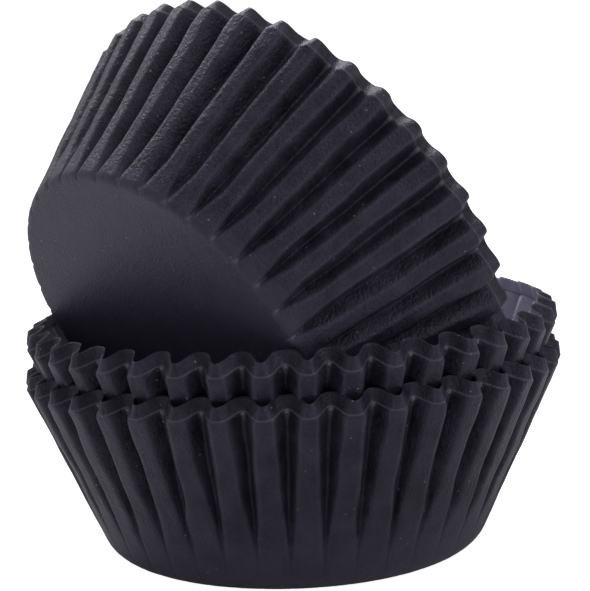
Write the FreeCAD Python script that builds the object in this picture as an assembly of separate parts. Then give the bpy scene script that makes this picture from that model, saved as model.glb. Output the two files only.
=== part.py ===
import FreeCAD, Part
import math
import os

# A small stack of paper liners for cupcakes. One liner stands on its base, a second is nested in it
# and sits a little proud of it, and a third lies on its side in the mouth of the second.
#
# Each liner is one flat paper disc, pressed between fluted tools. The disc's rim is longer than the
# cup's mouth, and the pleats take up the spare length: ridges stand out, valleys lie between them.
# Near the edge the pressing leaves a crease, and above it a narrow band is turned up. In that band
# the valleys open into wide arches and the ridges narrow to notches.
#
# Sizes are in millimetres and angles in degrees. +Z is up. The origin is the centre of the lowest
# base, on the table. +X is to the right and -Y is the front.

# The paper disc and its pressing
paper_thickness = 0.1
disc_diameter = 99.8
pleat_count = 40
rim_band = 1.6

# The lowest liner's base, over its round corner, and the crisp base of the other two
round_base_diameter = 50.0
round_corner_radius = 4.2
crisp_base_diameter = 48.0
crisp_corner_radius = 1.2

# How wide the flat top of a ridge and the flat floor of a valley are, as a share of one pleat
ridge_share_at_base = 0.78
ridge_share_on_wall = 0.41
ridge_share_at_crease = 0.36
ridge_share_at_edge = 0.18
valley_share_at_base = 0.03
valley_share_on_wall = 0.08
valley_share_at_crease = 0.14
valley_share_at_edge = 0.44

# How far the turned-up band leans out from the vertical. On a ridge it leans in, so less than none.
ridge_band_lean = -6.0
valley_band_lean = 10.0

# How far the ridges and valleys of each wall lean out from the vertical
lower_ridge_lean = 24.5
lower_valley_lean = 18.2
nested_ridge_lean = 24.0
nested_valley_lean = 18.2
tipped_ridge_lean = 21.5
tipped_valley_lean = 18.5

# The mouths aren't quite square to the axes: their rise to the right and to the back, as slopes
mouth_rise_right = 0.024
mouth_rise_back = -0.024
tipped_mouth_rise_right = 0.03

# The mouths of the two standing liners also lie a little to the right of their bases, and the
# nested base lies a little to the right of the lower one
lower_mouth_shift = 0.5
nested_mouth_shift = 0.4
nested_base_shift = 0.1

# The front ridge stands a little to the right of the middle, as an angle about the axis
front_ridge_angle = 2.9

# The tipped liner's axis points to the right and back, and upwards. Its base centre lies to the
# left and front of the stack's axis.
tipped_heading = 47.2
tipped_rise = 27.4
tipped_spin = 3.6
tipped_offset_x = -14.65
tipped_offset_y = -13.05

# The drop that is left between liners that rest on each other
rest_clearance = 0.05

# How finely a seat is worked out: the points along each edge, and the squares of a grid in plan
seat_points_per_edge = 5
seat_grid_square = 2.0

pleat_angle = 360 / pleat_count


class Liner:
    """One pressed liner, standing on its base at the origin."""

    def __init__(self, base_radius, corner_radius, ridge_lean, valley_lean, rise_right=0, rise_back=0,
                 mouth_shift=0):
        self.ridge = meridian(base_radius, corner_radius, ridge_lean, ridge_band_lean)
        self.valley = meridian(base_radius, corner_radius, valley_lean, valley_band_lean)
        base_shares = (ridge_share_at_base, valley_share_at_base)
        wall_shares = (ridge_share_on_wall, valley_share_on_wall)
        crease_shares = (ridge_share_at_crease, valley_share_at_crease)
        edge_shares = (ridge_share_at_edge, valley_share_at_edge)
        self.shares = [base_shares] * 3 + [wall_shares, crease_shares, edge_shares]
        self.rise_right = rise_right
        self.rise_back = rise_back
        self.mouth_shift = mouth_shift
        self.height = self.valley[-1][1]

    def follow_mouth(self, x, y, height):
        """A point of the wall, moved with the mouth's tilt and shift in step with its height."""
        rise = self.rise_right * x + self.rise_back * y
        part_way = height / self.height
        return FreeCAD.Vector(x + self.mouth_shift * part_way, y, height + rise * part_way)

    def section(self, station, inner):
        """The closed line round the liner at one station: four corners for each pleat."""
        ridge_share, valley_share = self.shares[station]
        corners = []
        for pleat in range(pleat_count):
            ridge_middle = front_ridge_angle - 90 + pleat_angle * pleat
            valley_middle = ridge_middle + pleat_angle / 2
            corners.append((ridge_middle - ridge_share * pleat_angle / 2, self.ridge[station]))
            corners.append((ridge_middle + ridge_share * pleat_angle / 2, self.ridge[station]))
            corners.append((valley_middle - valley_share * pleat_angle / 2, self.valley[station]))
            corners.append((valley_middle + valley_share * pleat_angle / 2, self.valley[station]))
        line = [polar(radius, angle, height) for angle, (radius, height, lean) in corners]
        if inner:
            inset = [paper_thickness * math.cos(math.radians(lean)) for _, (_, _, lean) in corners]
            raised = [paper_thickness * math.sin(math.radians(lean)) for _, (_, _, lean) in corners]
            line = inset_line(line, inset, raised)
        return [self.follow_mouth(point.x, point.y, point.z) for point in line]

    def facets(self):
        """The flat triangles all round the paper: the outer skin, and the rest of the surface."""
        stations = range(len(self.ridge))
        outer = [self.section(station, False) for station in stations]
        inner = [self.section(station, True) for station in stations]
        return skin(outer), skin(inner) + strip(outer[-1], inner[-1])


def meridian(base_radius, corner_radius, lean, band_lean):
    """Stations along the paper from the flat base to the edge, as radius, height and lean."""
    flat_radius = base_radius - corner_radius
    corner_turn = 90 - lean
    corner_length = corner_radius * math.radians(corner_turn)
    wall_length = disc_diameter / 2 - flat_radius - corner_length - rim_band
    stations = []
    for turn in (0, corner_turn / 2, corner_turn):
        radius = flat_radius + corner_radius * math.sin(math.radians(turn))
        height = corner_radius * (1 - math.cos(math.radians(turn)))
        stations.append((radius, height, 90 - turn))
    for length, straight_lean in ((wall_length / 2, lean), (wall_length / 2, lean), (rim_band, band_lean)):
        radius += length * math.sin(math.radians(straight_lean))
        height += length * math.cos(math.radians(straight_lean))
        stations.append((radius, height, straight_lean))
    return stations


def polar(radius, angle, height):
    return FreeCAD.Vector(
        radius * math.cos(math.radians(angle)), radius * math.sin(math.radians(angle)), height)


def inset_line(line, inset, raised):
    """The line moved inwards in plan, mitred at its corners, and raised."""
    moved = []
    for index, point in enumerate(line):
        before = line[index - 1] - point
        after = line[(index + 1) % len(line)] - point
        normal_before = FreeCAD.Vector(before.y, -before.x, 0).normalize()
        normal_after = FreeCAD.Vector(-after.y, after.x, 0).normalize()
        mitre = (normal_before + normal_after) * (1 / (1 + normal_before.dot(normal_after)))
        moved.append(point + mitre * inset[index] + FreeCAD.Vector(0, 0, raised[index]))
    return moved


def fan(line):
    """The triangles of a flat disc inside a level closed line."""
    centre = FreeCAD.Vector(0, 0, line[0].z)
    return [(centre, line[index - 1], line[index]) for index in range(len(line))]


def strip(lower, upper):
    """The triangles between two sections. Each flank folds from its ridge below to its valley above."""
    triangles = []
    for index in range(len(lower)):
        corners = [lower[index - 1], lower[index], upper[index], upper[index - 1]]
        if index % 4 == 0:
            corners = corners[1:] + corners[:1]
        triangles.append((corners[0], corners[1], corners[2]))
        triangles.append((corners[0], corners[2], corners[3]))
    return triangles


def skin(sections):
    """The triangles of a base disc and of the walls above it."""
    triangles = fan(sections[0])
    for lower, upper in zip(sections, sections[1:]):
        triangles += strip(lower, upper)
    return triangles


def solid(triangles):
    """The triangles sewn into one closed solid."""
    shell = Part.makeCompound([Part.Face(Part.makePolygon([a, b, c, a])) for a, b, c in triangles])
    shell.sewShape()
    paper = Part.makeSolid(shell)
    if paper.Volume < 0:
        paper.reverse()
    return paper


def placed(triangles, place):
    return [tuple(place.multVec(corner) for corner in triangle) for triangle in triangles]


def plan_grid(triangles):
    """The triangles that reach into each square of a grid in plan."""
    grid = {}
    for triangle in triangles:
        columns = [math.floor(corner.x / seat_grid_square) for corner in triangle]
        rows = [math.floor(corner.y / seat_grid_square) for corner in triangle]
        for column in range(min(columns), max(columns) + 1):
            for row in range(min(rows), max(rows) + 1):
                grid.setdefault((column, row), []).append(triangle)
    return grid


def heights_at(grid, x, y):
    """The heights at which a plumb line through a place in plan meets the triangles."""
    heights = []
    square = (math.floor(x / seat_grid_square), math.floor(y / seat_grid_square))
    for a, b, c in grid.get(square, []):
        area = (b.x - a.x) * (c.y - a.y) - (b.y - a.y) * (c.x - a.x)
        if area == 0:
            continue
        share_b = ((x - a.x) * (c.y - a.y) - (y - a.y) * (c.x - a.x)) / area
        share_c = ((b.x - a.x) * (y - a.y) - (b.y - a.y) * (x - a.x)) / area
        if share_b >= 0 and share_c >= 0 and share_b + share_c <= 1:
            heights.append(a.z + share_b * (b.z - a.z) + share_c * (c.z - a.z))
    return heights


def edge_points(triangles):
    """Points spread along the edges of the triangles."""
    for corners in triangles:
        for start, end in zip(corners, corners[1:] + corners[:1]):
            for step in range(seat_points_per_edge):
                yield start + (end - start) * (step / seat_points_per_edge)


def seat_height(dropped, holder):
    """How high one liner stays when it drops straight down until it rests on another."""
    lifts = []
    holder_grid = plan_grid(holder)
    for point in edge_points(dropped):
        lifts += [height - point.z for height in heights_at(holder_grid, point.x, point.y)]
    dropped_grid = plan_grid(dropped)
    for point in edge_points(holder):
        lifts += [point.z - height for height in heights_at(dropped_grid, point.x, point.y)]
    return max(lifts) + rest_clearance


lower = Liner(
    round_base_diameter / 2, round_corner_radius, lower_ridge_lean, lower_valley_lean,
    mouth_rise_right, mouth_rise_back, lower_mouth_shift)
nested = Liner(
    crisp_base_diameter / 2, crisp_corner_radius, nested_ridge_lean, nested_valley_lean,
    mouth_rise_right, mouth_rise_back, nested_mouth_shift)
tipped = Liner(
    crisp_base_diameter / 2, crisp_corner_radius, tipped_ridge_lean, tipped_valley_lean,
    tipped_mouth_rise_right)

# The nested liner drops straight in until its ridges catch on the arches of the lower one's band
lower_outside, lower_inside = lower.facets()
nested_outside, nested_inside = nested.facets()
nested_place = FreeCAD.Placement(FreeCAD.Vector(nested_base_shift, 0, 0), FreeCAD.Rotation())
nested_placed = placed(nested_outside, nested_place)
nested_place.Base.z = seat_height(nested_placed, lower_outside + lower_inside)

# The tipped liner is turned on its side, and drops until it rests on the nested one's mouth
lay_down = FreeCAD.Rotation(FreeCAD.Vector(0, 0, 1), -tipped_heading)
lay_down = lay_down.multiply(FreeCAD.Rotation(FreeCAD.Vector(1, 0, 0), tipped_rise - 90))
lay_down = lay_down.multiply(FreeCAD.Rotation(FreeCAD.Vector(0, 0, 1), tipped_spin))
tipped_outside, tipped_inside = tipped.facets()
tipped_place = FreeCAD.Placement(FreeCAD.Vector(tipped_offset_x, tipped_offset_y, 0), lay_down)
tipped_placed = placed(tipped_outside, tipped_place)
tipped_place.Base.z = seat_height(tipped_placed, placed(nested_outside + nested_inside, nested_place))

placed_liners = {
    "lower_liner": (lower_outside + lower_inside, FreeCAD.Placement()),
    "nested_liner": (nested_outside + nested_inside, nested_place),
    "tipped_liner": (tipped_outside + tipped_inside, tipped_place),
}

os.makedirs("parts", exist_ok=True)
for name, (triangles, place) in placed_liners.items():
    shape = solid(triangles)
    shape.Placement = place
    shape.exportStep("parts/" + name + ".step")
    print(name, "rests at height", round(place.Base.z, 2), "volume", round(shape.Volume, 1))
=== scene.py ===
# %% [markdown]
# # A small stack of cupcake liners
#
# Three fluted paper cups: one stands, one is nested in it, and one lies on its side in the open
# mouth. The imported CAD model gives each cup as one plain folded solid. Here each solid gets a finer
# stand-in, pressed from a flat paper disc in the same way as a real liner, and a paper finish.

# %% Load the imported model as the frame
import math

import bmesh
import bpy
import numpy as np
from mathutils import Matrix, Vector, noise


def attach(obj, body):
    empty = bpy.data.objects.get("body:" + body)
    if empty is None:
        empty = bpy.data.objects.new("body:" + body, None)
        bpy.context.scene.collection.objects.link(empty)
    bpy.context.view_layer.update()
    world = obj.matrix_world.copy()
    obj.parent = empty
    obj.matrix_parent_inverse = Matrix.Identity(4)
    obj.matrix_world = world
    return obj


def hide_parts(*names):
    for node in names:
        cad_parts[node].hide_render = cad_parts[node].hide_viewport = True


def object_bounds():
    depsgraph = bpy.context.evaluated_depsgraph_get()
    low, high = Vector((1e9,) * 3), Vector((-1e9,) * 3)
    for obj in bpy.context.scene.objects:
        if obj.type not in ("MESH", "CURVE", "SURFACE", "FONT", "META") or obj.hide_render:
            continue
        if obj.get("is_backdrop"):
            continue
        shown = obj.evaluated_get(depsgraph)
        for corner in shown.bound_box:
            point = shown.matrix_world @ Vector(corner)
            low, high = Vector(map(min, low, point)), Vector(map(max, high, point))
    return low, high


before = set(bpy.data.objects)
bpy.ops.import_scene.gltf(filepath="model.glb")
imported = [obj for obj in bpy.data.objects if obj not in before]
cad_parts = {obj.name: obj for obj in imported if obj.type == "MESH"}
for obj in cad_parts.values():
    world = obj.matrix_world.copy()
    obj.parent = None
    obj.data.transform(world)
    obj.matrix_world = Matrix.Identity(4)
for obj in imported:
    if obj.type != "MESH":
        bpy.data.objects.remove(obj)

cad_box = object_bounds()
print("CAD box in mm:", [[round(1000 * side, 1) for side in corner] for corner in cad_box])

# %% [markdown]
# ## Sizes
#
# A liner is one disc of thin greaseproof paper, pressed between fluted tools. These are the same
# sizes as in the CAD source, in millimetres and degrees, so that a cup pressed from them lands on
# its solid. Blender works in metres, so each length is multiplied by MM where a mesh is made.

# %% The paper and the pleats
MM = 0.001
paper_thickness = 0.1
disc_radius = 49.9
rim_band = 1.6
crease_radius = disc_radius - rim_band
pleat_count = 40
pleat_angle = 360 / pleat_count
front_ridge_angle = 2.9
steps_per_pleat = 24
print("pleats of", pleat_angle, "degrees,", pleat_count * steps_per_pleat, "steps round each disc")

# %% [markdown]
# Each cup has its own sizes. The wall leans out from upright by `lean`, and the ridges of the band
# above the crease by `band_lean`. The shares say how much of a pleat is flat ridge or flat valley,
# at six stations from the wall's foot to the edge. `mouth_rise` tilts the mouth, along x and y, and
# `mouth_shift` moves it along x. The valleys start with a small `dip` into the wall, and are ironed
# shallow over the length `flat_foot`. The seed is for the small differences between pleats.

# %% The three cups
cups = {
    "lower_liner": {
        "base_radius": 25.0, "corner_radius": 4.2, "lean": 24.5, "band_lean": -6.0,
        "ridge_shares": [0.93, 0.78, 0.55, 0.42, 0.32, 0.16],
        "valley_shares": [0.01, 0.03, 0.07, 0.10, 0.14, 0.44],
        "mouth_rise": (0.024, -0.024), "mouth_shift": 0.5,
        "dip": 0.0, "flat_foot": 9.0, "seed": 11},
    "nested_liner": {
        "base_radius": 24.0, "corner_radius": 1.2, "lean": 24.0, "band_lean": -6.0,
        "ridge_shares": [0.85, 0.62, 0.50, 0.42, 0.32, 0.16],
        "valley_shares": [0.01, 0.04, 0.07, 0.10, 0.14, 0.44],
        "mouth_rise": (0.024, -0.024), "mouth_shift": 0.4,
        "dip": 0.2, "flat_foot": 3.0, "seed": 11},
    "tipped_liner": {
        "base_radius": 24.0, "corner_radius": 1.2, "lean": 21.5, "band_lean": 1.0,
        "ridge_shares": [0.82, 0.42, 0.40, 0.42, 0.34, 0.20],
        "valley_shares": [0.01, 0.03, 0.06, 0.08, 0.12, 0.40],
        "mouth_rise": (0.03, 0.0), "mouth_shift": 0.0,
        "dip": 0.45, "flat_foot": 0.5, "seed": 23},
}
print("cups:", list(cups))

# %% [markdown]
# ## The flat disc
#
# The paper starts flat. A small circle is extruded outwards ring by ring, which gives rings of even
# squares that are easy to fold. The rings lie close together where the paper bends sharply, at the
# base's corner and at the crease below the edge, and further apart on the straight wall.

# %% Choose the rings of the disc
first_ring = 2
ring_before_corner = 0.5
base_rings, corner_rings, wall_rings, edge_rings = 5, 9, 25, 4
rings_at_crease = np.array([-0.6, -0.4, -0.25, -0.12, 0.0, 0.12, 0.3, 0.6])
first_edge_ring = 0.9


def flat_radius(cup):
    """How far along the paper the flat base ends and its corner starts."""
    return cup["base_radius"] - cup["corner_radius"]


def corner_end(cup):
    """How far along the paper the base's corner ends and the straight wall starts."""
    return flat_radius(cup) + cup["corner_radius"] * math.radians(90 - cup["lean"])


def ring_radii(cup):
    before_corner = flat_radius(cup) - ring_before_corner
    wall_end = crease_radius + rings_at_crease[0]
    return np.concatenate([
        np.linspace(first_ring, before_corner, base_rings)[:-1],
        np.linspace(before_corner, corner_end(cup), corner_rings)[:-1],
        np.linspace(corner_end(cup), wall_end, wall_rings)[:-1],
        crease_radius + rings_at_crease,
        np.linspace(crease_radius + first_edge_ring, disc_radius, edge_rings)])


print("rings in each disc:", [len(ring_radii(cup)) for cup in cups.values()])


# %% Grow a flat paper disc, ring by ring
def flat_disc(radii):
    paper = bmesh.new()
    bmesh.ops.create_circle(
        paper, cap_ends=True, cap_tris=True, segments=pleat_count * steps_per_pleat,
        radius=radii[0] * MM)
    rim = [edge for edge in paper.edges if edge.is_boundary]
    for radius, next_radius in zip(radii, radii[1:]):
        ring = bmesh.ops.extrude_edge_only(paper, edges=rim)["geom"]
        rim = [part for part in ring if isinstance(part, bmesh.types.BMEdge) and part.is_boundary]
        points = list({point for edge in rim for point in edge.verts})
        wider = next_radius / radius
        bmesh.ops.scale(paper, vec=(wider, wider, 1), verts=points)
    return paper


# %% [markdown]
# ## The ridges, seen from the side
#
# Seen from the side, a ridge leaves the flat base, turns up round the corner, runs straight up the
# wall and turns up once more at the crease. The lean of the paper at each distance from the disc's
# centre says all of this. Adding up short steps along that lean gives the radius and height.

# %% Follow a ridge up the wall
crease_half_width = 0.12
fine_step = 0.02


def ridge_view(cup):
    """Distances along the paper, with a ridge's radius and height at each."""
    along = np.arange(0, disc_radius + fine_step, fine_step)
    bends = [
        flat_radius(cup), corner_end(cup),
        crease_radius - crease_half_width, crease_radius + crease_half_width]
    lean = np.radians(np.interp(along, bends, [90, cup["lean"], cup["lean"], cup["band_lean"]]))
    middle_lean = (lean[:-1] + lean[1:]) / 2
    radius = np.concatenate([[0], np.cumsum(np.sin(middle_lean)) * fine_step])
    height = np.concatenate([[0], np.cumsum(np.cos(middle_lean)) * fine_step])
    return along, radius, height


for name, cup in cups.items():
    cup["ridge"] = ridge_view(cup)
    print(name, "has ridges of radius", round(cup["ridge"][1][-1], 2), "mm at the edge")

# %% [markdown]
# ## How deep the valleys are
#
# Paper doesn't stretch. A ring that was wide on the flat disc has to fit round a narrower cup, and
# the pleats take up what is left over. In each pleat the ridge and the valley keep their shares,
# and the two flanks between them are just steep enough to use up the rest. So the depth of the
# valleys is worked out, not chosen: it grows fast at the base, where the first Vs open, and reaches
# about 2 mm at the mouth. The shares change on the way up. Above the crease the valleys open into
# arches and the ridges close to notches.

# %% Work out the valleys from the length of the paper
depth_rounds = 30
first_stretch = 4
band_start = 0.35
dip_stations = [-1.6, 0.6, 4, 12]
least_ironed = 0.3


def share_stations(cup):
    """Distances along the paper at which the shares of ridge and valley are known."""
    foot = corner_end(cup)
    return [
        foot, foot + first_stretch, (foot + crease_radius) / 2,
        crease_radius - band_start, crease_radius, disc_radius]


def valley_depth(cup):
    """How deep the valleys are, from the length of each ring of the paper."""
    along, ridge_radius, _ = cup["ridge"]
    ridge_share = np.interp(along, share_stations(cup), cup["ridge_shares"])
    valley_share = np.interp(along, share_stations(cup), cup["valley_shares"])
    pitch = math.radians(pleat_angle)
    depth = np.zeros(len(along))
    for _ in range(depth_rounds):
        flank_width = (1 - ridge_share - valley_share) / 2 * pitch * (ridge_radius - depth / 2)
        level = (ridge_share * pitch * ridge_radius
                 + valley_share * pitch * (ridge_radius - depth))
        flank_length = (along * pitch - level) / 2
        depth = np.sqrt(np.maximum(flank_length ** 2 - flank_width ** 2, 0))
    return depth


def valley_view(cup):
    """A valley's radius and height at the same distances along the paper."""
    along, ridge_radius, _ = cup["ridge"]
    foot = corner_end(cup)
    dip = np.interp(along, [foot + station for station in dip_stations], [0, 1, 1, 0])
    ironed = np.clip((along - foot) / cup["flat_foot"], least_ironed, 1)
    radius = ridge_radius - valley_depth(cup) * ironed - cup["dip"] * dip * dip * (3 - 2 * dip)
    rise = np.sqrt(np.maximum(fine_step ** 2 - np.diff(radius) ** 2, 0))
    rise[along[1:] < flat_radius(cup)] = 0
    return along, radius, np.concatenate([[0], np.cumsum(rise)])


for name, cup in cups.items():
    cup["valley"] = valley_view(cup)
    cup["height"] = cup["valley"][2][-1]
    depth = cup["ridge"][1][-1] - cup["valley"][1][-1]
    print(f"{name} is {cup['height']:.1f} mm high, valleys {depth:.2f} mm deep at the edge")

# %% [markdown]
# ## Real pleats wander
#
# No two pleats come out of the press the same. Each ridge and each valley gets its own slow, seeded
# wander in place, width and depth on the way up the wall. The two nested cups share theirs, because
# they were pressed together.

# %% A slow wander for each pleat
wander_knots = 7
wander_sizes = {
    "ridge_place": 0.02, "valley_place": 0.02, "ridge_width": 0.07, "valley_width": 0.2,
    "ridge_out": 0.05, "valley_out": 0.06}


def wandered(table, pleat, share):
    """The wander of a pleat, smooth along the wall from its foot (0) to its edge (1)."""
    place = np.clip(share, 0, 1) * (wander_knots - 1)
    knot = np.minimum(place.astype(int), wander_knots - 2)
    ease = place - knot
    ease = ease * ease * (3 - 2 * ease)
    row = pleat.astype(int) % pleat_count
    return table[row, knot] * (1 - ease) + table[row, knot + 1] * ease


for cup in cups.values():
    rng = np.random.default_rng(cup["seed"])
    for key, size in wander_sizes.items():
        cup[key] = rng.normal(0, size, (pleat_count, wander_knots))
widest = 2 * wander_sizes["ridge_place"] * pleat_angle
print("each pleat wanders by up to about", round(widest, 2), "degrees")

# %% [markdown]
# ## Folding one point
#
# Every point of the flat disc knows its distance from the centre and its turn, counted in pleats.
# The turn says where it is between the middle of a ridge and the middle of the next valley. First
# come the lines of its pleat: the middles of the ridge and the valley, and the corners where the
# flank between them starts and ends.

# %% Find the lines of each point's pleat
wander_fade = 4


def pleat_lines(cup, along, turn, share, fade):
    """Each point's ridge and valley, and the turns of their middles and of the flank's ends."""
    ridge = np.round(turn)
    side = np.where(turn >= ridge, 1.0, -1.0)
    valley = np.where(side > 0, ridge, ridge - 1)
    ridge_share = np.interp(along, share_stations(cup), cup["ridge_shares"])
    ridge_share = ridge_share * (1 + fade * wandered(cup["ridge_width"], ridge, share))
    valley_share = np.interp(along, share_stations(cup), cup["valley_shares"])
    valley_share = valley_share * (1 + fade * wandered(cup["valley_width"], valley, share))
    ridge_turn = ridge + fade * wandered(cup["ridge_place"], ridge, share)
    valley_turn = valley + 0.5 + fade * wandered(cup["valley_place"], valley, share)
    ridge_corner = ridge_turn + side * ridge_share / 2
    valley_corner = valley_turn - side * valley_share / 2
    return ridge, valley, (ridge_turn, ridge_corner, valley_corner, valley_turn)


# %% [markdown]
# The fold then walks along the ridge, the flank and the valley. The steps are short near the two
# corners and long on the flank, so that each corner keeps its shape.

# %% Walk along a pleat
half_steps = [0, 3 / 12, 5 / 12, 9 / 12, 10.5 / 12, 1]
ridge_mark, flank_marks, valley_mark = 0.6, (0.15, 0.88), 0.8


def walk(half_turn, ridge_length, flank_length, valley_length):
    """How far a point is from the middle of its ridge, measured along the folded paper."""
    half_length = ridge_length + flank_length + valley_length
    marks = np.stack([
        0 * ridge_length, ridge_length * ridge_mark,
        ridge_length + flank_length * flank_marks[0],
        ridge_length + flank_length * flank_marks[1],
        half_length - valley_length * valley_mark, half_length])
    step = np.interp(half_turn, half_steps, np.arange(len(half_steps)))
    low = np.minimum(step.astype(int), len(half_steps) - 2)
    rows = np.arange(len(half_turn))
    return marks[low, rows] + (marks[low + 1, rows] - marks[low, rows]) * (step - low)


def place_on_pleat(reach, lengths, turns):
    """The turn of a place that far along the pleat, and its way down the flank, from 0 to 1."""
    ridge_length, flank_length, valley_length = lengths
    ridge_turn, ridge_corner, valley_corner, valley_turn = turns
    half_length = ridge_length + flank_length + valley_length
    place = half_length - np.abs(half_length - np.abs(reach))
    on_ridge = np.clip(place / ridge_length, 0, 1)
    on_flank = np.clip((place - ridge_length) / flank_length, 0, 1)
    on_valley = np.clip((place - ridge_length - flank_length) / valley_length, 0, 1)
    at = (ridge_turn + (ridge_corner - ridge_turn) * on_ridge
          + (valley_corner - ridge_corner) * on_flank
          + (valley_turn - valley_corner) * on_valley)
    at = np.where(reach < 0, 2 * ridge_turn - at, at)
    at = np.where(reach > half_length, 2 * valley_turn - at, at)
    return at, on_flank


# %% [markdown]
# Real paper has no sharp folds. So each point takes the mean of six places close by on its pleat,
# which rounds the corners: widely in the band above the crease, and least in the valleys.

# %% Fold the disc into a fluted cup
ridge_rounding = 0.28
valley_rounding = 0.12
band_rounding = 0.75
fold_taps = [-1, -0.6, -0.2, 0.2, 0.6, 1]
tiny = 1e-6


def fold(cup, along, turn):
    """Turn, radius and height of points of the pressed paper, how far each is on its way from ridge
    to valley, and its distances from the middle of the valley and from the ridge's edge."""
    pitch = math.radians(pleat_angle)
    ridge_r, ridge_z = (np.interp(along, cup["ridge"][0], line) for line in cup["ridge"][1:])
    valley_r, valley_z = (np.interp(along, cup["valley"][0], line) for line in cup["valley"][1:])
    foot = corner_end(cup)
    share = np.clip((along - foot) / (disc_radius - foot), 0, 1)
    fade = np.clip(share * wander_fade, 0, 1)
    ridge, valley, turns = pleat_lines(cup, along, turn, share, fade)
    ridge_turn, ridge_corner, valley_corner, valley_turn = turns

    ridge_length = np.abs(ridge_corner - ridge_turn) * pitch * ridge_r + tiny
    valley_length = np.abs(valley_turn - valley_corner) * pitch * valley_r + tiny
    flank_width = np.abs(valley_corner - ridge_corner) * pitch * (ridge_r + valley_r) / 2
    flank_length = tiny + np.sqrt(
        flank_width ** 2 + (ridge_r - valley_r) ** 2 + (ridge_z - valley_z) ** 2)
    lengths = (ridge_length, flank_length, valley_length)
    half_length = ridge_length + flank_length + valley_length
    walked = walk(2 * np.abs(turn - ridge), *lengths)

    part_way = np.clip((walked - ridge_length) / flank_length, 0, 1)
    in_band = np.clip((along - crease_radius) / band_start + 1, 0, 1)
    rounding = ridge_rounding + (valley_rounding - ridge_rounding) * part_way
    rounding = rounding + (band_rounding - rounding) * in_band
    at, down = 0, 0
    for tap in fold_taps:
        tap_at, tap_down = place_on_pleat(walked + tap * rounding, lengths, turns)
        at = at + tap_at / len(fold_taps)
        down = down + tap_down / len(fold_taps)
    out = fade * (wandered(cup["ridge_out"], ridge, share) * (1 - down)
                  + wandered(cup["valley_out"], valley, share) * down)
    radius = ridge_r + (valley_r - ridge_r) * down + out
    height = ridge_z + (valley_z - ridge_z) * down
    return at, radius, height, down, half_length - walked, walked - ridge_length


print("folds rounded by", ridge_rounding, "mm on ridges and", valley_rounding, "mm in valleys")

# %% [markdown]
# ## Marks of the press
#
# The press leaves a fine bead along the crease, and a pinch at the top of each valley, where the
# paper is caught between the flute and the band. Soft crinkles lie over it all, and streaks run up
# the wall. Three masks are kept for the finish: the distance along the paper, a painted shade that
# is darkest in the valleys and lightest on the base and along the ridges' edges, and where the paper
# is pinched, which also marks a painted highlight there and where each valley starts at the base.

# %% Bead, pinches and masks
bead_height, bead_width = 0.05, 0.12
pinch_height, pinch_width = 0.45, 0.30
start_inset, start_length, start_width = 0.5, 0.4, 0.35
# Painted shade: its level on the ridges, its extra in the valleys and its fade at the wall's foot; a painted
# highlight along the ridges' edges.
ridge_painted_shade, valley_extra_painted_shade = 0.48, 0.52
ridge_edge_highlight_width, ridge_edge_highlight_fade, ridge_edge_highlight_strength = 0.18, 4, 0.35
least_painted_shade_fade = 2.0


def bead_and_pinch(along, from_valley):
    """How high the bead along the crease is, and how strong the pinch is, from 0 to 1."""
    bead = bead_height * np.exp(-((along - crease_radius) / bead_width) ** 2)
    from_pinch = np.hypot(
        (along - crease_radius + pinch_width) / pinch_width, from_valley / pinch_width)
    return bead, np.exp(-from_pinch ** 2)


# Painted shade, darkest in the valleys, paler on the ridges and palest on the base, at the wall's foot and
# along the ridges' edges; painted highlights where the paper is pinched and where each valley starts.
def shade_and_highlight_masks(cup, along, down, pinch_and_highlight, from_valley, from_ridge_edge):
    above_foot = along - corner_end(cup)
    from_start = np.hypot((above_foot + start_inset) / start_length, from_valley / start_width)
    # Painted highlight where each valley starts at the base.
    pinch_and_highlight = pinch_and_highlight + min(1, 2 * cup["dip"]) * np.exp(-from_start ** 2)
    # Painted highlight along both edges of each ridge, fading in above the wall's foot.
    ridge_edge_highlight = np.exp(-(from_ridge_edge / ridge_edge_highlight_width) ** 2)
    ridge_edge_highlight = ridge_edge_highlight * np.clip(above_foot / ridge_edge_highlight_fade, 0, 1)
    painted_shade_fade = max(least_painted_shade_fade, cup["flat_foot"])
    painted_shade = (ridge_painted_shade + valley_extra_painted_shade * down) * np.clip(above_foot / painted_shade_fade, 0, 1)
    return {
        "along_paper": along, "painted_shade": painted_shade - ridge_edge_highlight_strength * ridge_edge_highlight, "pinch_and_highlight": pinch_and_highlight}


# %% Crinkles and streaks
crinkle_sizes = ((2.6, 0.06), (1.1, 0.035))
streaks_per_pleat = 1.8
streak_height = 0.12
streak_stretch = 0.12
streak_fade_in, streak_fade_out = 8, 2
base_softness, soft_length = 0.15, 4


def crinkle(paper, cup, flat, along):
    """Move each point a little out or in: least on the base, and with streaks on the wall."""
    shove = Vector((cup["seed"], 0, 0))
    streak_ring = streaks_per_pleat * pleat_count / (2 * math.pi)
    for point, (flat_x, flat_y, _), reach in zip(paper.verts, flat, along):
        spot = point.co / MM
        above_base = reach - cup["base_radius"]
        soft = min(1, max(base_softness, above_base / soft_length))
        swell = sum(deep * noise.noise(spot / wide + shove) for wide, deep in crinkle_sizes)
        round_ring = Vector((flat_x, flat_y, 0)) * (streak_ring / (reach + tiny))
        streak = round_ring + Vector((0, 0, reach * streak_stretch))
        on_wall = min(
            max(0, above_base) / streak_fade_in,
            max(0, crease_radius - reach) / streak_fade_out, 1)
        swell += streak_height * noise.noise(streak + shove) * on_wall
        point.co += point.normal * swell * soft * MM


print("crinkles in mm, width and depth:", crinkle_sizes, "and streaks", streak_height, "deep")

# %% [markdown]
# ## Pressing the three cups
#
# Each disc is folded and marked. The mouth gets the slight tilt and shift that it has in the
# photograph, and the cup is set in its place, which is the CAD model's. Solidify gives the paper
# its thickness inwards.

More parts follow.
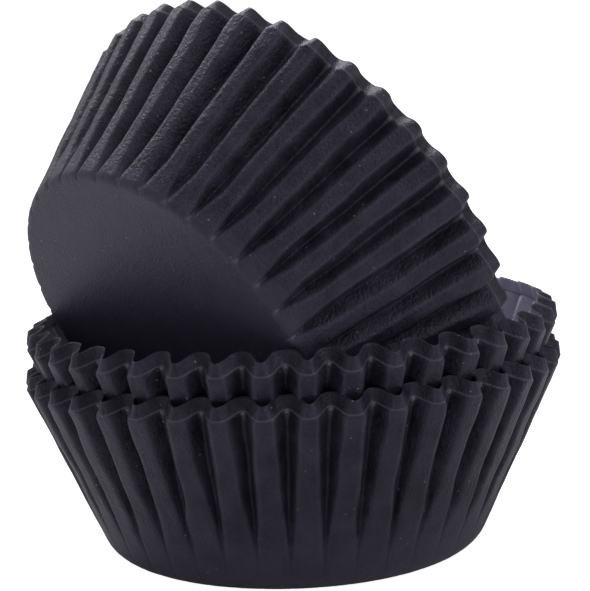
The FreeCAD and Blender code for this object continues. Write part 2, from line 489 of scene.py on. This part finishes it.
# %% Where each cup stands
nested_place = Vector((0.1, 0, 5.42)) * MM
tipped_place = Vector((-14.65, -13.05, 30.01)) * MM
tipped_heading, tipped_rise, tipped_spin = 47.2, 27.4, 3.6

lay_down = (
    Matrix.Rotation(math.radians(-tipped_heading), 4, "Z")
    @ Matrix.Rotation(math.radians(tipped_rise - 90), 4, "X")
    @ Matrix.Rotation(math.radians(tipped_spin), 4, "Z"))
cups["lower_liner"]["place"] = Matrix.Identity(4)
cups["nested_liner"]["place"] = Matrix.Translation(nested_place)
cups["tipped_liner"]["place"] = Matrix.Translation(tipped_place) @ lay_down
print("tipped cup's base centre in mm:", [round(side / MM, 2) for side in tipped_place])


# %% Press a disc and move it to its place
def pressed_paper(cup):
    """The folded disc in its place, as a bmesh with outward normals, and its masks."""
    paper = flat_disc(ring_radii(cup))
    flat = np.array([point.co[:] for point in paper.verts]) / MM
    along = np.hypot(flat[:, 0], flat[:, 1])
    turn = np.degrees(np.arctan2(flat[:, 1], flat[:, 0])) % 360 / pleat_angle
    at, radius, height, down, from_valley, from_ridge_edge = fold(cup, along, turn)
    bead, pinch_and_highlight = bead_and_pinch(along, from_valley)
    radius += bead
    radius += pinch_height * pinch_and_highlight
    angle = np.radians(front_ridge_angle - 90 + at * pleat_angle)
    pressed = np.stack([radius * np.cos(angle), radius * np.sin(angle), height], axis=1)
    part_way = height / cup["height"]
    pressed[:, 2] += part_way * (pressed[:, :2] @ np.array(cup["mouth_rise"]))
    pressed[:, 0] += part_way * cup["mouth_shift"]
    for point, place in zip(paper.verts, pressed):
        point.co = place * MM
    paper.normal_update()
    crinkle(paper, cup, flat, along)
    bmesh.ops.recalc_face_normals(paper, faces=paper.faces)
    paper.faces.ensure_lookup_table()
    if paper.faces[0].normal.z > 0:
        bmesh.ops.reverse_faces(paper, faces=paper.faces)
    bmesh.ops.transform(paper, matrix=cup["place"], verts=paper.verts)
    return paper, shade_and_highlight_masks(cup, along, down, pinch_and_highlight, from_valley, from_ridge_edge)


def press(name, cup):
    paper, masks = pressed_paper(cup)
    mesh = bpy.data.meshes.new(name + "_paper")
    paper.to_mesh(mesh)
    paper.free()
    mesh.shade_smooth()
    for key, values in masks.items():
        mask = mesh.attributes.new(key, "FLOAT", "POINT")
        mask.data.foreach_set("value", values.astype(np.float32))
    piece = bpy.data.objects.new(name + "_pressed", mesh)
    bpy.context.collection.objects.link(piece)
    wall = piece.modifiers.new("paper_thickness", "SOLIDIFY")
    wall.thickness = paper_thickness * MM
    wall.offset = -1
    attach(piece, "root")
    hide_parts(name)
    return piece


pressed_cups = [press(name, cup) for name, cup in cups.items()]
print("pressed", [piece.name for piece in pressed_cups])

# %% [markdown]
# ## Paper
#
# The paper is dyed almost black with a touch of violet. It is dull, but not dead: a soft sheen
# shows where it turns away from the eye, the grain is fine and uneven, and a few pale specks of
# dust and fibre lie on it. The photograph shows only a small patch of an inside, which looks
# paler, so the insides get a paler and smoother finish. That is a guess. Each effect is a node
# group of its own, and both finishes use it.

# %% Small helpers for nodes
def effect_group(name, inputs, outputs):
    """A node group with named inputs and outputs."""
    group = bpy.data.node_groups.new(name, "ShaderNodeTree")
    for title, kind, value in inputs:
        socket = group.interface.new_socket(title, in_out="INPUT", socket_type=kind)
        if value is not None:
            socket.default_value = value
    for title in outputs:
        group.interface.new_socket(title, in_out="OUTPUT", socket_type="NodeSocketFloat")
    return group, group.nodes.new("NodeGroupInput"), group.nodes.new("NodeGroupOutput")


def add(tree, kind, values=None, **settings):
    """A new node with its settings, and its inputs given as values or as sockets to link."""
    node = tree.nodes.new(kind)
    for key, value in settings.items():
        setattr(node, key, value)
    for key, value in (values or {}).items():
        if isinstance(value, bpy.types.NodeSocket):
            tree.links.new(value, node.inputs[key])
        else:
            node.inputs[key].default_value = value
    return node


def compute(tree, operation, *values):
    """The result of one step of arithmetic."""
    return add(tree, "ShaderNodeMath", dict(enumerate(values)), operation=operation).outputs[0]


def remap(tree, value, given, wanted, **settings):
    """A value moved from one range to another."""
    node = add(tree, "ShaderNodeMapRange", {
        "Value": value, "From Min": given[0], "From Max": given[1],
        "To Min": wanted[0], "To Max": wanted[1]}, **settings)
    return node.outputs[0]


def blend(tree, share, first, second):
    """A mix of two colours."""
    return add(tree, "ShaderNodeMix", {0: share, 6: first, 7: second}, data_type="RGBA").outputs[2]


print("node helpers ready")


# %% Fibre grain
def grain_group():
    """Fine uneven fibre, as a height, and the fibre with a slow mottle, as a tone about 1."""
    group, given, result = effect_group(
        "fibre_grain",
        [("Vector", "NodeSocketVector", None), ("Fibre Size", "NodeSocketFloat", 0.3)],
        ["Height", "Tone"])
    place = given.outputs["Vector"]
    scale = compute(group, "DIVIDE", 1.0, given.outputs["Fibre Size"])
    fine = add(group, "ShaderNodeTexNoise", {
        "Vector": place, "Scale": scale, "Detail": 3.0, "Roughness": 0.7})
    stretch = add(group, "ShaderNodeMapping", {
        "Vector": place, "Rotation": (0.3, 0.5, 0.7), "Scale": (1.0, 0.25, 0.6)})
    strands = add(group, "ShaderNodeTexNoise", {
        "Vector": stretch.outputs[0], "Scale": scale, "Detail": 2.0, "Distortion": 0.6})
    height = add(group, "ShaderNodeMix", {
        0: 0.5, 2: fine.outputs["Fac"], 3: strands.outputs["Fac"]}).outputs[0]
    mottle = add(group, "ShaderNodeTexNoise", {"Vector": place, "Scale": 0.35, "Detail": 3.0})
    tone = compute(group, "ADD", height, mottle.outputs["Fac"])
    group.links.new(height, result.inputs["Height"])
    group.links.new(tone, result.inputs["Tone"])
    return group


# %% Crumples
def crumple_group():
    """Fine creases between small flat patches, as a height from 0 in a crease to 1 on a patch."""
    group, given, result = effect_group(
        "crumples",
        [("Vector", "NodeSocketVector", None), ("Patch Size", "NodeSocketFloat", 1.2)],
        ["Height"])
    place = given.outputs["Vector"]
    scale = compute(group, "DIVIDE", 1.0, given.outputs["Patch Size"])
    drift = add(group, "ShaderNodeTexNoise", {"Vector": place, "Scale": scale, "Detail": 2.0})
    push = add(
        group, "ShaderNodeVectorMath", {0: drift.outputs["Color"], "Scale": 1.6},
        operation="SCALE")
    moved = add(group, "ShaderNodeVectorMath", {0: place, 1: push.outputs[0]}, operation="ADD")
    patches = add(
        group, "ShaderNodeTexVoronoi", {"Vector": moved.outputs[0], "Scale": scale},
        feature="DISTANCE_TO_EDGE")
    height = remap(
        group, patches.outputs["Distance"], (0.0, 0.30), (0.0, 1.0),
        interpolation_type="SMOOTHSTEP")
    group.links.new(height, result.inputs["Height"])
    return group


# %% Pale specks
def speck_group():
    """A mask of small scattered specks of dust and fibre."""
    group, given, result = effect_group(
        "pale_specks",
        [("Vector", "NodeSocketVector", None), ("Spacing", "NodeSocketFloat", 1.0),
         ("Size", "NodeSocketFloat", 0.1), ("Share", "NodeSocketFloat", 0.3)],
        ["Mask"])
    scale = compute(group, "DIVIDE", 1.0, given.outputs["Spacing"])
    cells = add(group, "ShaderNodeTexVoronoi", {
        "Vector": given.outputs["Vector"], "Scale": scale})
    parts = add(group, "ShaderNodeSeparateColor", {0: cells.outputs["Color"]})
    chosen = compute(group, "LESS_THAN", parts.outputs[0], given.outputs["Share"])
    size = compute(group, "MULTIPLY", parts.outputs[1], given.outputs["Size"])
    near = compute(group, "LESS_THAN", cells.outputs["Distance"], size)
    mask = compute(group, "MULTIPLY", chosen, near)
    group.links.new(mask, result.inputs["Mask"])
    return group


# %% [markdown]
# The finish puts the effects together. The dye's tone varies at random with the grain. Shade is
# painted in: the paper is darkest in the valleys, paler on the ridges, and palest on the base and
# along the ridges' edges. A highlight is painted along the crease, and a brighter one on the pinches
# and where the valleys start. Fine fibres and crumples stand out a little, the crumples most in the
# valleys.

# %% Greaseproof paper
# Painted highlight colours for the crease and the pinches; the specks are real dust and fibre.
crease_highlight_colour = (0.12, 0.115, 0.14, 1)
pinch_highlight_colour = (0.22, 0.21, 0.26, 1)
speck_colour = (0.19, 0.18, 0.215, 1)
fibre_depth, crumple_depth = 0.00018, 0.00010


def effect(tree, group, place, **values):
    """One of the effects above, fed with a place in millimetres."""
    node = add(tree, "ShaderNodeGroup", {"Vector": place}, node_tree=group)
    for title, value in values.items():
        node.inputs[title.replace("_", " ")].default_value = value
    return node


def dye_and_painted_light_colour(tree, tone, specks, painted_shade, dark, pale):
    """The colour of the paper: its dye, painted shade and highlights, and the specks of dust on it."""
    dye = remap(tree, tone, (0.8, 1.2), (0.0, 0.5))
    # Painted shade: darkest in the valleys, palest on the base and along the ridges' edges.
    painted_light = remap(tree, painted_shade, (0.0, 0.7), (0.75, 0.0))
    colour = blend(tree, compute(tree, "ADD", dye, painted_light), dark, pale)
    along = add(tree, "ShaderNodeAttribute", attribute_name="along_paper")
    off_crease = compute(tree, "SUBTRACT", along.outputs["Fac"], crease_radius)
    off_crease = compute(tree, "ABSOLUTE", off_crease)
    # Painted highlight along the crease.
    colour = blend(tree, remap(tree, off_crease, (0.03, 0.16), (0.65, 0.0)), colour, crease_highlight_colour)
    # Painted highlight where the paper is pinched and where each valley starts.
    pinch_and_highlight = add(tree, "ShaderNodeAttribute", attribute_name="pinch_and_highlight")
    colour = blend(tree, pinch_and_highlight.outputs["Fac"], colour, pinch_highlight_colour)
    return blend(tree, specks, colour, speck_colour)


def paper_finish(name, effects, dark, pale, gloss_range):
    paper = bpy.data.materials.new(name)
    paper.use_nodes = True
    tree = paper.node_tree
    shader = tree.nodes["Principled BSDF"]
    place = add(tree, "ShaderNodeTexCoord").outputs["Object"]
    in_mm = add(tree, "ShaderNodeVectorMath", {0: place, "Scale": 1000.0}, operation="SCALE")
    grain = effect(tree, effects["grain"], in_mm.outputs[0], Fibre_Size=0.3)
    crumples = effect(tree, effects["crumples"], in_mm.outputs[0], Patch_Size=1.0)
    specks = effect(
        tree, effects["specks"], in_mm.outputs[0], Spacing=1.1, Size=0.13, Share=0.5)
    # The painted shade mask, for the colour and for how strongly the crumples stand out.
    painted_shade = add(tree, "ShaderNodeAttribute", attribute_name="painted_shade").outputs["Fac"]
    colour = dye_and_painted_light_colour(
        tree, grain.outputs["Tone"], specks.outputs["Mask"], painted_shade, dark, pale)
    gloss = remap(tree, grain.outputs["Height"], (0.3, 0.7), gloss_range)
    crumpled = remap(tree, painted_shade, (0.0, 0.4), (0.05, 0.30))
    fibres = add(tree, "ShaderNodeBump", {
        "Height": grain.outputs["Height"], "Strength": 0.9, "Distance": fibre_depth})
    bump = add(tree, "ShaderNodeBump", {
        "Height": crumples.outputs["Height"], "Strength": crumpled, "Distance": crumple_depth,
        "Normal": fibres.outputs[0]})
    shader.inputs["Specular Tint"].default_value = (0.80, 0.75, 1.0, 1)
    shader.inputs["Sheen Weight"].default_value = 0.05
    shader.inputs["Sheen Tint"].default_value = (0.75, 0.68, 1.0, 1)
    tree.links.new(colour, shader.inputs["Base Color"])
    tree.links.new(gloss, shader.inputs["Roughness"])
    tree.links.new(bump.outputs[0], shader.inputs["Normal"])
    return paper


# %% Finish the cups outside and inside
paper_effects = {"grain": grain_group(), "crumples": crumple_group(), "specks": speck_group()}
outer_finish = paper_finish(
    "black_paper_outside", paper_effects,
    dark=(0.005, 0.0045, 0.007, 1), pale=(0.056, 0.051, 0.082, 1), gloss_range=(0.38, 0.52))
inner_finish = paper_finish(
    "pale_paper_inside", paper_effects,
    dark=(0.44, 0.43, 0.52, 1), pale=(0.56, 0.54, 0.66, 1), gloss_range=(0.30, 0.42))
for piece in pressed_cups:
    piece.data.materials.append(outer_finish)
    piece.data.materials.append(inner_finish)
    piece.modifiers["paper_thickness"].material_offset = 1
print("finished", len(pressed_cups), "cups in", outer_finish.name, "and", inner_finish.name)

# %% [markdown]
# ## Floor, light and camera
#
# The cups stand on a plain white table against white. The camera sees both as white, but they
# light the paper only a little: more from behind than from the front, and most in the gloss.

# %% A white table
table_size = 1.5
floor_glow, floor_shine = 0.97, 0.05


def white_table():
    table = bmesh.new()
    bmesh.ops.create_grid(table, x_segments=1, y_segments=1, size=table_size)
    mesh = bpy.data.meshes.new("white_table_top")
    table.to_mesh(mesh)
    table.free()
    floor = bpy.data.objects.new("white_table", mesh)
    bpy.context.collection.objects.link(floor)
    floor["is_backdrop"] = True
    finish = bpy.data.materials.new("white_table_finish")
    finish.use_nodes = True
    tree = finish.node_tree
    shader = tree.nodes["Principled BSDF"]
    shader.inputs["Base Color"].default_value = (0.8, 0.8, 0.8, 1)
    shader.inputs["Roughness"].default_value = 0.8
    shader.inputs["Emission Color"].default_value = (1, 1, 1, 1)
    ray = add(tree, "ShaderNodeLightPath")
    seen = compute(tree, "MULTIPLY", ray.outputs["Is Camera Ray"], floor_glow)
    glow = compute(tree, "MULTIPLY_ADD", ray.outputs["Is Glossy Ray"], floor_shine, seen)
    tree.links.new(glow, shader.inputs["Emission Strength"])
    mesh.materials.append(finish)


white_table()
print("white table ready,", 2 * table_size, "m wide")

# %% A white room
front_glow, back_glow, back_shine = 0.18, 0.10, 0.5
front_to_back = (-0.3, 0.5)


def white_room():
    world = bpy.data.worlds.new("white_room")
    bpy.context.scene.world = world
    world.use_nodes = True
    tree = world.node_tree
    room = tree.nodes["Background"]
    room.inputs["Color"].default_value = (1, 1, 1, 1)
    way = add(tree, "ShaderNodeTexCoord")
    sides = add(tree, "ShaderNodeSeparateXYZ", {0: way.outputs["Generated"]})
    ray = add(tree, "ShaderNodeLightPath")
    behind = add(tree, "ShaderNodeMix", {
        "Factor": ray.outputs["Is Glossy Ray"], "A": back_glow, "B": back_shine})
    wash = remap(
        tree, sides.outputs["Y"], front_to_back, (front_glow, behind.outputs["Result"]),
        interpolation_type="SMOOTHSTEP")
    level = add(tree, "ShaderNodeMix", {
        "Factor": ray.outputs["Is Camera Ray"], "A": wash, "B": 1.0})
    tree.links.new(level.outputs["Result"], room.inputs["Strength"])


white_room()
print("white room ready")

# %% [markdown]
# A large soft lamp stands high behind the cups to the left. Most of its light falls on the table
# and bounces up on the tipped cup's base, whose lowest third stays dark over the nested cup. A
# weaker lamp stands at the right, and two faint ones above and at the left.

# %% Soft lamps
lamp_size = 0.35
lamp_target = Vector((0, 0, 0.03))


def soft_lamp(name, place, power):
    lamp = bpy.data.lights.new(name, "AREA")
    lamp.shape = "SQUARE"
    lamp.size = lamp_size
    lamp.energy = power
    stand = bpy.data.objects.new(name, lamp)
    stand.location = place
    aim = lamp_target - Vector(place)
    stand.rotation_euler = aim.to_track_quat("-Z", "Y").to_euler()
    bpy.context.collection.objects.link(stand)
    print(name, "at", place, "with", power, "W")


soft_lamp("back_softbox", (-0.16, 0.35, 0.49), 2.15)
soft_lamp("right_softbox", (0.376, -0.264, 0.416), 0.75)
soft_lamp("top_fill", (-0.05, -0.09, 0.62), 0.15)
soft_lamp("left_fill", (-0.578, -0.102, 0.155), 0.2)

# %% [markdown]
# The camera has the photograph's angle, which a fit of the cups' outlines gave.


# %% The photograph's camera
def photo_camera():
    elevation, roll = math.radians(10.224), math.radians(2.116)
    distance = 0.298334
    target = Vector((0.001033, 0, 0.032087))
    focal_pixels, picture_height = 2344.83, 591
    level_right = Vector((1, 0, 0))
    level_up = Vector((0, math.sin(elevation), math.cos(elevation)))
    right = level_right * math.cos(roll) - level_up * math.sin(roll)
    up = level_right * math.sin(roll) + level_up * math.cos(roll)
    back = right.cross(up)
    lens = bpy.data.cameras.new("photo_camera")
    lens.lens = focal_pixels * lens.sensor_width / picture_height
    camera = bpy.data.objects.new("photo_camera", lens)
    turned = Matrix((right, up, back)).transposed().to_4x4()
    camera.matrix_world = Matrix.Translation(target + back * distance) @ turned
    bpy.context.collection.objects.link(camera)
    bpy.context.scene.camera = camera
    place = [round(side, 4) for side in camera.location]
    print("camera at", place, "lens", round(lens.lens, 2), "mm")


photo_camera()
bpy.context.scene.view_settings.view_transform = "Standard"

# %% [markdown]
# ## Print the size, and finish
#
# The dressed cups must fill the same box as the CAD model, so both boxes are printed.

# %% Print both boxes and finish
sizes = {"cad": [list(corner) for corner in cad_box], "visual": [list(corner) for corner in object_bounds()]}
for key, box in sizes.items():
    print(key, "box in mm:", [[round(side / MM, 1) for side in corner] for corner in box])
